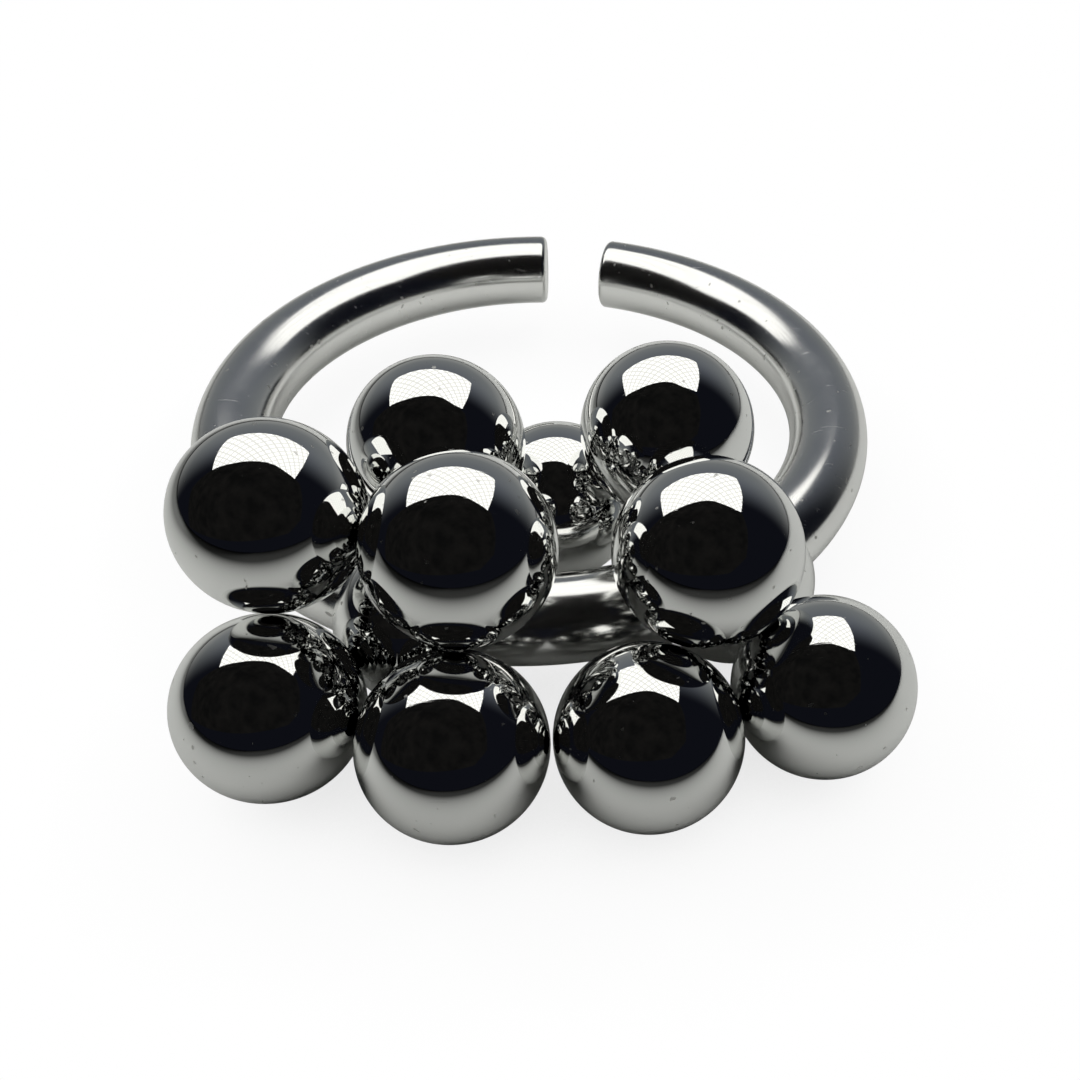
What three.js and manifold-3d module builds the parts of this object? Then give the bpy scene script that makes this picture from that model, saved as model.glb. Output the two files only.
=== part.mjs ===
// Open ring with a cluster of equal polished balls.
// A round wire is bent into one C-shaped band with a small gap at the back. Two of the balls are
// bored and sit on the band; ten more are joined to them and to each other, in a lower layer that
// the object stands on and an upper layer that rests in its hollows.
// Millimetres. +Z is up, square to the band's plane; -Y is the front, where the cluster is; the gap
// is at the back. The origin is under the middle of the object, on the surface it stands on.
import * as THREE from 'three';
import Module from 'manifold-3d';
import { mergeVertices } from 'three/addons/utils/BufferGeometryUtils.js';

// ---- driving dimensions -------------------------------------------------------------------
const BALL_D = 6.0;
const WIRE_D = 3.16;
const BAND_MEAN_D = 24.44;
const GAP_FROM_DEG = 77.4;     // right cut end, measured round the band from +X
const GAP_TO_DEG = 91.0;       // left cut end
const END_CHAMFER = 0.16;      // rounded-off rim of each cut end
const BORE_CLEARANCE = 0.02;   // all round the wire inside the two bored balls
const BAND_PLANE_Z = 3.587;    // height of the wire's centreline above the surface
const BAND_CENTRE_Y = 3.308;   // the band's centre is this far behind the origin

// ---- faceting -----------------------------------------------------------------------------
const BALL_DETAIL = 4;
const WIRE_SIDES = 24;
const BAND_STEPS = 72;

// Ball centres, measured from the centre of the band: x to the right, y to the back, z up.
// Touching neighbours stand one ball diameter apart, or a few hundredths more.
const LOWER_LAYER = {
  ball_lower_front_left_outer: [-7.32, -16.08, -0.15],
  ball_lower_front_left: [-1.42, -17.42, -0.25],
  ball_lower_front_right: [4.62, -16.95, -0.29],
  ball_lower_right: [10.29, -14.90, -0.16],
  ball_lower_inner: [1.24, -5.90, 0.06],
};
const BORED = {
  ball_bored_left: [-3.23, -11.67, -0.56],
  ball_bored_right: [7.69, -9.49, -0.61],
};
const UPPER_LAYER = {
  ball_upper_left: [-7.09, -12.61, 4.80],
  ball_upper_middle: [-1.19, -13.86, 4.66],
  ball_upper_right: [6.35, -13.14, 4.04],
  ball_upper_back_left: [-2.64, -8.02, 4.19],
  ball_upper_back_right: [5.20, -7.23, 4.39],
};

const BALL_R = BALL_D / 2;
const WIRE_R = WIRE_D / 2;
const BAND_R = BAND_MEAN_D / 2;
const rad = THREE.MathUtils.degToRad;

const wasm = await Module();
wasm.setup();

function toManifold(geometry) {
  const bare = geometry.clone();
  bare.deleteAttribute('normal');
  bare.deleteAttribute('uv');
  const g = mergeVertices(bare, 1e-5);
  const mesh = new wasm.Mesh({
    numProp: 3,
    vertProperties: new Float32Array(g.attributes.position.array),
    triVerts: new Uint32Array(g.index.array),
  });
  return new wasm.Manifold(mesh);
}

function toGeometry(solid) {
  const mesh = solid.getMesh();
  const g = new THREE.BufferGeometry();
  g.setAttribute('position', new THREE.BufferAttribute(new Float32Array(mesh.vertProperties), 3));
  g.setIndex(new THREE.BufferAttribute(new Uint32Array(mesh.triVerts), 1));
  g.computeVertexNormals();
  return g;
}

// A round bar bent about +Z: one ring of vertices per station, flat caps at both ends.
// stations: [angle in radians, wire radius there], from the right cut end the long way round.
function bentWire(stations) {
  const points = [];
  const faces = [];
  for (const [angle, r] of stations) {
    for (let j = 0; j < WIRE_SIDES; j += 1) {
      const turn = (2 * Math.PI * j) / WIRE_SIDES;
      const out = BAND_R + r * Math.cos(turn);
      points.push(out * Math.cos(angle), out * Math.sin(angle), r * Math.sin(turn));
    }
  }
  for (let i = 0; i < stations.length - 1; i += 1) {
    for (let j = 0; j < WIRE_SIDES; j += 1) {
      const k = (j + 1) % WIRE_SIDES;
      const a = i * WIRE_SIDES + j;
      const b = i * WIRE_SIDES + k;
      const c = a + WIRE_SIDES;
      const d = b + WIRE_SIDES;
      faces.push(a, d, b, a, c, d);
    }
  }
  const last = (stations.length - 1) * WIRE_SIDES;
  for (let j = 1; j < WIRE_SIDES - 1; j += 1) {
    faces.push(0, j, j + 1);
    faces.push(last, last + j + 1, last + j);
  }
  const g = new THREE.BufferGeometry();
  g.setAttribute('position', new THREE.Float32BufferAttribute(points, 3));
  g.setIndex(faces);
  return g;
}

// The band runs from the left cut end, anticlockwise seen from above, to the right cut end.
const from = rad(GAP_TO_DEG);
const to = rad(GAP_FROM_DEG + 360);
const chamferTurn = END_CHAMFER / BAND_R;
const middle = [];
for (let i = 0; i <= BAND_STEPS; i += 1) {
  const angle = from + chamferTurn + ((to - from - 2 * chamferTurn) * i) / BAND_STEPS;
  middle.push(angle);
}
const bandStations = [
  [from, WIRE_R - END_CHAMFER],
  ...middle.map((angle) => [angle, WIRE_R]),
  [to, WIRE_R - END_CHAMFER],
];
const band = bentWire(bandStations);
const boreTool = toManifold(bentWire(middle.map((angle) => [angle, WIRE_R + BORE_CLEARANCE])));

const finish = {
  band: new THREE.MeshStandardMaterial({ color: 0xc4c6c8, roughness: 0.08, metalness: 1 }),
  ball: new THREE.MeshStandardMaterial({ color: 0xc9cbcd, roughness: 0.05, metalness: 1 }),
};

const assembly = new THREE.Group();

function addPiece(name, geometry, material) {
  geometry.translate(0, BAND_CENTRE_Y, BAND_PLANE_Z);
  const mesh = new THREE.Mesh(geometry, material);
  mesh.name = name;
  assembly.add(mesh);
}

function ballAt([x, y, z]) {
  return new THREE.IcosahedronGeometry(BALL_R, BALL_DETAIL).translate(x, y, z);
}

addPiece('band', band, finish.band);
for (const [name, centre] of Object.entries({ ...LOWER_LAYER, ...UPPER_LAYER })) {
  addPiece(name, ballAt(centre), finish.ball);
}
for (const [name, centre] of Object.entries(BORED)) {
  addPiece(name, toGeometry(toManifold(ballAt(centre)).subtract(boreTool)), finish.ball);
}

export default assembly;
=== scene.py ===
# Open ring of round wire with a cluster of mirror-polished balls: looks, stage and camera.
# Metres, in the row's frame. Each CAD node is stood for by a finer piece of the same size.
import bmesh
import bpy
import math
from mathutils import Matrix, Vector, noise


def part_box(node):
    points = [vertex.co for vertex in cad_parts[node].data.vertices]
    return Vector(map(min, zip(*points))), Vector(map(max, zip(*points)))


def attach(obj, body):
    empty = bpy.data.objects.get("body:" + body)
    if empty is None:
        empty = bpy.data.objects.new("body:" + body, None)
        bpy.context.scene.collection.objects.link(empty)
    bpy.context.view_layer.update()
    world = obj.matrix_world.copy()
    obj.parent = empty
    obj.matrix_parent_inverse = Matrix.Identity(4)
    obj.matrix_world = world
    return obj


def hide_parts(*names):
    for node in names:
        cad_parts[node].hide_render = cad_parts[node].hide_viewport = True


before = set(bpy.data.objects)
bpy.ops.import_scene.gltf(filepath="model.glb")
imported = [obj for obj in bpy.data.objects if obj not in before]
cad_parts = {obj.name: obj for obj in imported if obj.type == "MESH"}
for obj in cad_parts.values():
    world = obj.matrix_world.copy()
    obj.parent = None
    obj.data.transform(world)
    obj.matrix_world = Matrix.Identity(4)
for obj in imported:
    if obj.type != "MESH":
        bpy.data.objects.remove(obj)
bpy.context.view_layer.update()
scene = bpy.context.scene
MM = 0.001

# ---- sizes, as in the part's source -------------------------------------------------------
BALL_R = 3.0 * MM
WIRE_R = 1.58 * MM
BAND_R = 12.22 * MM
BAND_CENTRE = Vector((0.0, 3.308, 3.587)) * MM
GAP_FROM = math.radians(77.4)
GAP_TO = math.radians(91.0)
END_ROUND = 0.28 * MM     # rounding of both rims of the band
OUT_OF_ROUND = 0.002 * MM  # swell of a ball about its mean radius
BORE_R = WIRE_R + 0.02 * MM
BORED = {
    "ball_bored_left": Vector((-3.23, -8.362, 3.027)) * MM,
    "ball_bored_right": Vector((7.69, -6.182, 2.977)) * MM,
}


def link(obj):
    scene.collection.objects.link(obj)
    return obj


def mesh_object(name, verts, faces, smooth):
    mesh = bpy.data.meshes.new(name)
    mesh.from_pydata([tuple(v) for v in verts], [], faces)
    mesh.update()
    if smooth:
        mesh.shade_smooth()
    return link(bpy.data.objects.new(name, mesh))


# ---- materials ----------------------------------------------------------------------------
class Nodes:
    """Short helpers round one material's node tree."""

    def __init__(self, name):
        self.mat = bpy.data.materials.new(name)
        self.mat.use_nodes = True
        self.tree = self.mat.node_tree
        self.tree.nodes.clear()
        self.out = self.new("ShaderNodeOutputMaterial")

    def new(self, kind, **props):
        node = self.tree.nodes.new(kind)
        for key, value in props.items():
            setattr(node, key, value)
        return node

    def put(self, socket, value):
        if isinstance(value, bpy.types.NodeSocket):
            self.tree.links.new(value, socket)
        else:
            socket.default_value = value

    def math(self, op, a, b=0.0, clamp=False):
        node = self.new("ShaderNodeMath", operation=op, use_clamp=clamp)
        self.put(node.inputs[0], a)
        self.put(node.inputs[1], b)
        return node.outputs[0]

    def ramp(self, fac, stops):
        node = self.new("ShaderNodeValToRGB")
        while len(node.color_ramp.elements) < len(stops):
            node.color_ramp.elements.new(0.5)
        for element, (at, value) in zip(node.color_ramp.elements, stops):
            element.position = at
            colour = value if isinstance(value, (tuple, list)) else (value,) * 3
            element.color = (*colour, 1.0)
        self.put(node.inputs[0], fac)
        return node.outputs[0]

    def place(self, scale=(1, 1, 1), turn=(0, 0, 0), shift=(0, 0, 0)):
        coords = self.new("ShaderNodeTexCoord")
        mapping = self.new("ShaderNodeMapping")
        self.put(mapping.inputs["Vector"], coords.outputs["Object"])
        mapping.inputs["Location"].default_value = shift
        mapping.inputs["Rotation"].default_value = turn
        mapping.inputs["Scale"].default_value = scale
        return mapping.outputs[0]

    def noise(self, vector, scale, detail=2.0, rough=0.5):
        node = self.new("ShaderNodeTexNoise")
        self.put(node.inputs["Vector"], vector)
        node.inputs["Scale"].default_value = scale
        node.inputs["Detail"].default_value = detail
        node.inputs["Roughness"].default_value = rough
        return node.outputs["Fac"]

    def paint(self, colour):
        """Feeds the colour of the shader that reaches the surface."""
        self.put(self.out.inputs["Surface"].links[0].from_node.inputs["Color"], colour)


def polished(name, tint, seed, wear, soft=0.0):
    """Mirror-polished steel: faint waviness, hairlines in three directions, pin-point specks.
    wear from 0 to 1 sets how dense the hairlines are and how much the gloss varies; soft is
    added to the roughness everywhere."""
    n = Nodes(name)
    shift = (seed * 0.013, seed * 0.007, seed * 0.011)
    hairs = None
    for i, turn in enumerate([(0.3, 0.2, 0.9), (1.2, 0.4, 2.1), (0.7, 1.3, 0.2)]):
        turned = tuple(t + seed * 0.37 for t in turn)
        streak = n.noise(n.place((260, 9000, 2600), turned, shift), 1.0, 3.0, 0.55)
        thin = n.ramp(streak, [(0.0, 0.0), (0.70 - 0.05 * wear + 0.01 * i, 0.0), (0.76, 1.0)])
        hairs = thin if hairs is None else n.math("MAXIMUM", hairs, thin)
    cloud = n.noise(n.place(shift=shift), 420.0, 3.0, 0.6)
    fine = n.noise(n.place(shift=shift), 5200.0, 2.0, 0.5)
    speck = n.noise(n.place(shift=shift), 3600.0, 0.0)
    specks = n.ramp(speck, [(0.0, 0.0), (0.80, 0.0), (0.83, 1.0)])
    # gloss: clean steel, softer in worn clouds, and in the hairlines and specks
    gloss = n.ramp(cloud, [(0.35, 0.018 + soft), (0.72, 0.035 + 0.03 * wear + soft)])
    gloss = n.math("ADD", gloss, n.math("MULTIPLY", hairs, 0.10 + 0.08 * wear))
    gloss = n.math("ADD", gloss, n.math("MULTIPLY", specks, 0.30), clamp=True)
    dark = tuple(c * 0.965 for c in tint)
    colour = n.ramp(cloud, [(0.3, dark), (0.7, tint)])
    dull = n.new("ShaderNodeMix", data_type="RGBA", blend_type="MULTIPLY")
    n.put(dull.inputs["Factor"], n.math("MULTIPLY", specks, 0.6))
    n.put(dull.inputs["A"], colour)
    dull.inputs["B"].default_value = (0.55, 0.54, 0.52, 1.0)
    wave = n.new("ShaderNodeBump")
    wave.inputs["Strength"].default_value = 0.30
    wave.inputs["Distance"].default_value = 0.000012
    n.put(wave.inputs["Height"], n.noise(n.place(shift=shift), 190.0, 1.0))
    cut = n.new("ShaderNodeBump", invert=True)
    cut.inputs["Strength"].default_value = 0.12
    cut.inputs["Distance"].default_value = 0.000002
    n.put(cut.inputs["Height"], n.math("ADD", hairs, n.math("MULTIPLY", fine, 0.12)))
    n.put(cut.inputs["Normal"], wave.outputs[0])
    steel = n.new("ShaderNodeBsdfPrincipled")
    steel.inputs["Metallic"].default_value = 1.0
    n.put(steel.inputs["Base Color"], dull.outputs["Result"])
    n.put(steel.inputs["Roughness"], gloss)
    n.put(steel.inputs["Normal"], cut.outputs[0])
    n.put(n.out.inputs["Surface"], steel.outputs[0])
    return n.mat


def emitter(name, strength):
    """An even white glow, until it is painted."""
    n = Nodes(name)
    glow = n.new("ShaderNodeEmission")
    glow.inputs["Color"].default_value = (1.0, 1.0, 1.0, 1.0)
    glow.inputs["Strength"].default_value = strength
    n.put(n.out.inputs["Surface"], glow.outputs[0])
    return n


def matt(name):
    n = Nodes(name)
    flat = n.new("ShaderNodeBsdfDiffuse")
    n.put(n.out.inputs["Surface"], flat.outputs[0])
    return n


# ---- the balls ----------------------------------------------------------------------------
def ball_mesh(name, centre, seed, rings=96, segments=128):
    """A cast and polished ball: a closed lattice of quads, out of round by a few microns."""
    turn = Matrix.Rotation(0.7 + seed, 3, "X") @ Matrix.Rotation(1.1 * seed, 3, "Z")
    bm = bmesh.new()
    bmesh.ops.create_uvsphere(bm, u_segments=segments, v_segments=rings, radius=1.0)
    for v in bm.verts:
        d = (turn @ v.co).normalized()
        swell = noise.noise(d * 1.3 + Vector((seed * 3.1, 0.0, 7.7)))
        v.co = centre + d * (BALL_R - OUT_OF_ROUND + OUT_OF_ROUND * swell)
    mesh = bpy.data.meshes.new(name)
    bm.to_mesh(mesh)
    bm.free()
    mesh.shade_smooth()
    return link(bpy.data.objects.new(name, mesh))


# ---- the band -----------------------------------------------------------------------------
def sweep(name, stations, sides, centre):
    """A closed round bar bent about +Z. stations: (angle, wire radius there)."""
    verts = []
    faces = []
    for angle, r in stations:
        for j in range(sides):
            t = 2 * math.pi * j / sides
            out = BAND_R + r * math.cos(t)
            rim = Vector((out * math.cos(angle), out * math.sin(angle), r * math.sin(t)))
            verts.append(centre + rim)
    for i in range(len(stations) - 1):
        for j in range(sides):
            k = (j + 1) % sides
            a, b = i * sides + j, i * sides + k
            faces.append((a, a + sides, b + sides, b))
    faces.append(tuple(range(sides)))
    last = (len(stations) - 1) * sides
    faces.append(tuple(reversed(range(last, last + sides))))
    return mesh_object(name, verts, faces, smooth=True)


def band_stations(steps, round_steps):
    """From the left cut end the long way round to the right one, with both rims rounded off."""
    start, end = GAP_TO, GAP_FROM + 2 * math.pi
    near = []
    for i in range(round_steps + 1):
        t = math.pi / 2 * i / round_steps
        inward = END_ROUND * (1 - math.cos(t)) / BAND_R
        near.append((start + inward, WIRE_R - END_ROUND * (1 - math.sin(t))))
    far = [(end - (a - start), r) for a, r in reversed(near)]
    first, stop = near[-1][0], far[0][0]
    middle = [(first + (stop - first) * i / steps, WIRE_R) for i in range(1, steps)]
    return near + middle + far


def bore(piece):
    """Cuts the band's own path, a little wider, out of a ball."""
    ends = 8  # stations left off at each end, a few more than the rounded rims have
    path = [(angle, BORE_R) for angle, r in band_stations(240, 6)[ends:-ends]]
    tool = sweep("bore_tool", path, 96, BAND_CENTRE)
    cut = piece.modifiers.new("bore", "BOOLEAN")
    cut.operation = "DIFFERENCE"
    cut.solver = "EXACT"
    cut.object = tool
    graph = bpy.context.evaluated_depsgraph_get()
    bored = bpy.data.meshes.new_from_object(piece.evaluated_get(graph))
    piece.modifiers.clear()
    piece.data = bored
    bpy.data.objects.remove(tool)
    bored.shade_smooth()
    bored.set_sharp_from_angle(angle=math.radians(30))


BALL_TINT = (0.885, 0.89, 0.875)
BAND_TINT = (0.90, 0.90, 0.885)

ball_names = sorted(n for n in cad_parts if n.startswith("ball_"))
for i, node in enumerate(ball_names):
    lo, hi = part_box(node)
    centre = BORED.get(node, (lo + hi) / 2)
    piece = ball_mesh("polished_" + node, centre, i + 1)
    if node in BORED:
        bore(piece)
    piece.data.materials.clear()
    piece.data.materials.append(polished("ball_steel_" + node, BALL_TINT, i + 1, wear=0.25))
    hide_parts(node)
    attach(piece, "root")

band = sweep("polished_band", band_stations(360, 8), 72, BAND_CENTRE)
band.data.set_sharp_from_angle(angle=math.radians(40))
band.data.materials.append(polished("band_steel", BAND_TINT, 21, wear=0.8, soft=0.12))
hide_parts("band")
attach(band, "root")

# ---- camera -------------------------------------------------------------------------------
CAM_AT = Vector((3.64, -34.938, 30.263)) * MM
FORWARD = Vector((0.0142, 0.7103, -0.7037)).normalized()
RIGHT = Vector((0.9998, 0.0, 0.0202))
RIGHT = (RIGHT - FORWARD * RIGHT.dot(FORWARD)).normalized()
UP = RIGHT.cross(FORWARD)
SENSOR = 36.0
LENS = 36.4333
SHIFT_X, SHIFT_Y = -0.08796, 0.05833
camera_data = bpy.data.cameras.new("camera")
camera = link(bpy.data.objects.new("camera", camera_data))
camera_data.sensor_width = SENSOR
camera_data.lens = LENS
camera_data.shift_x = SHIFT_X
camera_data.shift_y = SHIFT_Y
camera_data.clip_start = 0.001
camera_data.clip_end = 20.0
axes = Matrix((RIGHT, UP, -FORWARD)).transposed()
camera.matrix_world = Matrix.Translation(CAM_AT) @ axes.to_4x4()
scene.camera = camera

# ---- stage --------------------------------------------------------------------------------
def only_seen(obj):
    """Shown to the camera and in nothing else."""
    obj.visible_glossy = False
    obj.visible_diffuse = False
    obj.visible_transmission = False
    obj.visible_shadow = False


def quad(name, corners, material):
    obj = mesh_object(name, corners, [tuple(range(len(corners)))], smooth=False)
    obj.data.materials.append(material)
    return obj


def square(half, z):
    return [(-half, -half, z), (half, -half, z), (half, half, z), (-half, half, z)]


# pale floor and backdrop that the camera sees; a painted contact shadow darkens the floor softly where
# the piece stands
FLOOR_HALF, FLOOR_Z = 0.5, -0.05 * MM
BACKDROP_R = 0.8
SHADE_REACH = 6 * MM
floor_look = emitter("floor_pale", 1.0)
painted_shadow_ao = floor_look.new("ShaderNodeAmbientOcclusion")
painted_shadow_ao.samples = 8
painted_shadow_ao.inputs["Distance"].default_value = SHADE_REACH
# painted contact shadow: the floor's glow is made darker where the piece is near
shade = floor_look.ramp(painted_shadow_ao.outputs["AO"], [(0.0, 0.72), (0.55, 0.95), (1.0, 1.0)])
floor_look.paint(shade)
floor = quad("floor", square(FLOOR_HALF, FLOOR_Z), floor_look.mat)
only_seen(floor)
bpy.ops.mesh.primitive_uv_sphere_add(segments=48, ring_count=24, radius=BACKDROP_R)
dome = bpy.context.object
dome.name = "backdrop"
dome.data.materials.append(emitter("backdrop_pale", 1.0).mat)
only_seen(dome)

# the table that the piece mirrors: pale round the piece, with painted shade darkening its colour to the
# front and left
TABLE_HALF, TABLE_Z = 0.6, -0.1 * MM
TABLE_TINT = (0.60, 0.605, 0.58)
FRONT_PAINTED_SHADE = (-58 * MM, -8 * MM, 0.08)  # from here, to here, and what is left of the tint there
LEFT_PAINTED_SHADE = (-70 * MM, -12 * MM, 0.30)
table_look = matt("table_grey")
where = table_look.new("ShaderNodeSeparateXYZ")
table_look.put(where.inputs[0], table_look.place())
painted_shades = []
for axis, (far, close, least) in (("Y", FRONT_PAINTED_SHADE), ("X", LEFT_PAINTED_SHADE)):
    reach = table_look.new("ShaderNodeMapRange", interpolation_type="SMOOTHSTEP")
    table_look.put(reach.inputs["Value"], where.outputs[axis])
    reach.inputs["From Min"].default_value = far
    reach.inputs["From Max"].default_value = close
    reach.inputs["To Min"].default_value = least
    reach.inputs["To Max"].default_value = 1.0
    painted_shades.append(reach.outputs[0])
# painted shade: the table's tint is darkened towards the front and left
pale = table_look.math("MULTIPLY", *painted_shades)
table_look.paint(table_look.ramp(pale, [(0.0, 0.0), (1.0, TABLE_TINT)]))
table = quad("table_mirrored", square(TABLE_HALF, TABLE_Z), table_look.mat)
table.visible_camera = False

# soft light card, high up and a little behind, with a fine net over it
CARD_NORMAL = Vector((-0.09, 0.59, 0.79)).normalized()
CARD_X = (Vector((1, 0, 0)) - CARD_NORMAL * CARD_NORMAL.x).normalized()
CARD_Y = CARD_NORMAL.cross(CARD_X)
CARD_FROM = Vector((-0.6, -9.9, 8.1)) * MM  # the middle of the three upper front balls
CARD_FAR = 0.08                             # how far from there the card stands


def on_card(right, up):
    return CARD_FROM + (CARD_NORMAL + CARD_X * right + CARD_Y * up) * CARD_FAR


card_outline = [(-0.60, 0.31), (-0.55, 0.345), (0.0, 0.35), (0.54, 0.355), (0.60, 0.32),
                (0.78, -0.15), (0.93, -0.67), (0.30, -0.60), (-1.1, -0.60), (-0.84, -0.15)]
CARD_GLOW = 1.5
NET_FREQUENCY = 38.0
net = emitter("softbox_net", CARD_GLOW)
lines = None
for turn in (0.82, -0.70):
    wave = net.new("ShaderNodeTexWave", wave_type="BANDS", bands_direction="X", wave_profile="SIN")
    net.put(wave.inputs["Vector"], net.place((1, 1, 1), (0, 0, turn)))
    wave.inputs["Scale"].default_value = NET_FREQUENCY
    wave.inputs["Distortion"].default_value = 0.5
    thin = net.ramp(wave.outputs["Fac"], [(0.0, 1.0), (0.46, 0.0)])
    lines = thin if lines is None else net.math("MAXIMUM", lines, thin)
net.paint(net.ramp(lines, [(0.0, (1.0, 0.995, 0.97)), (1.0, (0.60, 0.595, 0.57))]))
card = mesh_object("softbox", [(x * CARD_FAR, y * CARD_FAR, 0) for x, y in card_outline],
                   [tuple(range(len(card_outline)))], smooth=False)
card_axes = Matrix((CARD_X, CARD_Y, CARD_NORMAL)).transposed()
card.matrix_world = Matrix.Translation(on_card(0, 0)) @ card_axes.to_4x4()
card.data.materials.append(net.mat)
card.visible_camera = False
card.visible_diffuse = False
card.visible_shadow = False

# the same light for the table, as a lamp that is not mirrored
LAMP_FROM = Vector((-0.09, 0.30, 0.95)).normalized()
LAMP_FAR = 0.16
LAMP_WIDE, LAMP_DEEP = 0.30, 0.22
LAMP_WATTS = 0.43
lamp_data = bpy.data.lights.new("softbox_lamp", "AREA")
lamp_data.shape = "RECTANGLE"
lamp_data.size = LAMP_WIDE
lamp_data.size_y = LAMP_DEEP
lamp_data.energy = LAMP_WATTS
lamp = link(bpy.data.objects.new("softbox_lamp", lamp_data))
lamp.location = CARD_FROM + LAMP_FROM * LAMP_FAR
lamp.rotation_mode = "QUATERNION"
lamp.rotation_quaternion = LAMP_FROM.to_track_quat("Z", "Y")
lamp.visible_glossy = False
lamp.visible_camera = False

# dark card in the camera's plane, over and in front of the piece: it keeps the balls' middles black.
# Its outline is in millimetres to the right of the lens and above it.
flag_look = emitter("flag_black", 1.0)
# the card is lit by no lamp: its faint mottled glow is painted light
mottle = flag_look.noise(flag_look.place(), 90.0, 4.0, 0.6)
flag_look.paint(flag_look.ramp(mottle, [(0.35, (0.004, 0.004, 0.004)), (0.70, (0.009, 0.0085, 0.008))]))
flag_outline = [(-170, -24), (-60, -20), (-20, -18), (16, -15), (30, -4), (34, 20), (34, 38),
                (27, 42), (15, 48), (6, 54), (-4, 56), (-38, 54), (-66, 58), (-170, 62)]
flag_corners = [CAM_AT + (RIGHT * x + UP * y) * MM for x, y in flag_outline]
flag = quad("flag", flag_corners, flag_look.mat)
flag.visible_camera = False
flag.visible_diffuse = False
flag.visible_shadow = False

# ---- world: a dark room, paler low down behind ---------------------------------------------
ROOM_DARK = (0.0045, 0.005, 0.008, 1.0)
BEHIND_FROM, BEHIND_TO = 0.20, 0.80  # how squarely a direction must point to the back
world = bpy.data.worlds.new("room")
scene.world = world
world.use_nodes = True
tree = world.node_tree
tree.nodes.clear()
world_out = tree.nodes.new("ShaderNodeOutputWorld")
background = tree.nodes.new("ShaderNodeBackground")
coords = tree.nodes.new("ShaderNodeTexCoord")
apart = tree.nodes.new("ShaderNodeSeparateXYZ")
tree.links.new(coords.outputs["Generated"], apart.inputs[0])
low = tree.nodes.new("ShaderNodeValToRGB")
low_stops = [(0.0, (0.26, 0.265, 0.26)), (0.2, (0.165, 0.175, 0.18)),
             (0.6, (0.11, 0.12, 0.14)), (0.8, (0.085, 0.095, 0.115))]
low.color_ramp.elements.new(0.4)
low.color_ramp.elements.new(0.5)
for element, (at, value) in zip(low.color_ramp.elements, low_stops):
    element.position = at
    element.color = (*value, 1.0)
tree.links.new(apart.outputs["Z"], low.inputs[0])
behind = tree.nodes.new("ShaderNodeMapRange")
behind.interpolation_type = "SMOOTHSTEP"
behind.inputs["From Min"].default_value = BEHIND_FROM
behind.inputs["From Max"].default_value = BEHIND_TO
tree.links.new(apart.outputs["Y"], behind.inputs["Value"])
blend = tree.nodes.new("ShaderNodeMix")
blend.data_type = "RGBA"
tree.links.new(behind.outputs[0], blend.inputs["Factor"])
blend.inputs["A"].default_value = ROOM_DARK
tree.links.new(low.outputs[0], blend.inputs["B"])
tree.links.new(blend.outputs["Result"], background.inputs["Color"])
tree.links.new(background.outputs[0], world_out.inputs["Surface"])

scene.view_settings.view_transform = "Standard"
